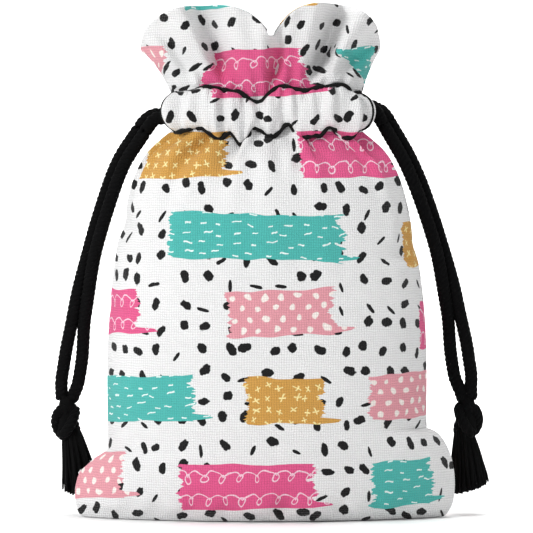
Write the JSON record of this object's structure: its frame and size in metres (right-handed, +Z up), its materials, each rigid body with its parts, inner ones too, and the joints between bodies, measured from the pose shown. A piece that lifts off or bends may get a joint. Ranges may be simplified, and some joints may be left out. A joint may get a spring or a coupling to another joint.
{
  "type": "drawstring dice bag",
  "caption": "Printed canvas drawstring pouch for dice: gathered neck, frilled top, flat base with ear corners, and a knotted, tasselled cord at each side.",
  "frame": {"origin": "on the floor, at the middle of the bottom seam", "axes": "+Z up, +X to the right of the pouch as seen from the front, -Y towards the viewer"},
  "size_m": [0.1704, 0.062, 0.2],
  "materials": {
    "canvas": "coarse plain weave, printed with colour patches and black flecks",
    "seam_allowance": "overlocked raw canvas edge",
    "cord": "twisted matte polyester",
    "thread": "matte thread"
  },
  "bodies": {
    "pouch": {"front_panel": "canvas", "back_panel": "canvas", "left_side_seam": "seam_allowance", "right_side_seam": "seam_allowance", "bottom_seam": "seam_allowance", "front_casing": "canvas", "back_casing": "canvas", "front_ruffle": "canvas", "back_ruffle": "canvas", "front_upper_stitch": "thread", "back_upper_stitch": "thread", "front_lower_stitch": "thread", "back_lower_stitch": "thread", "left_cord_front_run": "cord", "left_cord_back_run": "cord", "right_cord_front_run": "cord", "right_cord_back_run": "cord"},
    "neck_left": {"left_slit_tacks": "thread", "right_cord_bight": "cord"},
    "neck_right": {"right_slit_tacks": "thread", "left_cord_bight": "cord"},
    "left_cord": {"left_cord_exit": "cord"},
    "left_tail": {"left_outer_strand": "cord", "left_inner_strand": "cord"},
    "left_tassel_end": {"left_knot": "cord", "left_tassel": "cord"},
    "right_cord": {"right_cord_exit": "cord"},
    "right_tail": {"right_outer_strand": "cord", "right_inner_strand": "cord"},
    "right_tassel_end": {"right_knot": "cord", "right_tassel": "cord"}
  },
  "joints": [
    {"name": "neck_left_gather", "type": "slide", "parent": "pouch", "child": "neck_left", "axis": [1, 0, 0], "range_m": [0, 0.02], "deforming": ["front_casing", "back_casing", "front_ruffle", "back_ruffle", "front_upper_stitch", "back_upper_stitch", "front_lower_stitch", "back_lower_stitch", "left_cord_front_run", "left_cord_back_run", "right_cord_front_run", "right_cord_back_run"]},
    {"name": "neck_right_gather", "type": "slide", "parent": "pouch", "child": "neck_right", "axis": [-1, 0, 0], "range_m": [0, 0.02]},
    {"name": "left_cord_pull", "type": "slide", "parent": "neck_left", "child": "left_cord", "axis": [-1, 0, 0], "range_m": [0, 0.04]},
    {"name": "right_cord_pull", "type": "slide", "parent": "neck_right", "child": "right_cord", "axis": [1, 0, 0], "range_m": [0, 0.04]},
    {"name": "left_tail_swing", "type": "hinge", "parent": "left_cord", "child": "left_tail", "pos_m": [-0.0489, 0, 0.1506], "axis": [0, 1, 0], "range_deg": [0, 90]},
    {"name": "right_tail_swing", "type": "hinge", "parent": "right_cord", "child": "right_tail", "pos_m": [0.0489, 0, 0.1558], "axis": [0, -1, 0], "range_deg": [0, 90]},
    {"name": "left_tassel_swing", "type": "hinge", "parent": "left_tail", "child": "left_tassel_end", "pos_m": [-0.0772, 0.0115, 0.0398], "axis": [0, 1, 0], "range_deg": [0, 60]},
    {"name": "right_tassel_swing", "type": "hinge", "parent": "right_tail", "child": "right_tassel_end", "pos_m": [0.0772, 0.0115, 0.0398], "axis": [0, -1, 0], "range_deg": [0, 60]}
  ],
  "couplings": [
    {"joint": "neck_right_gather", "follows": "neck_left_gather", "ratio": 1},
    {"joint": "left_cord_pull", "follows": "neck_left_gather", "ratio": 2},
    {"joint": "right_cord_pull", "follows": "neck_left_gather", "ratio": 2}
  ]
}
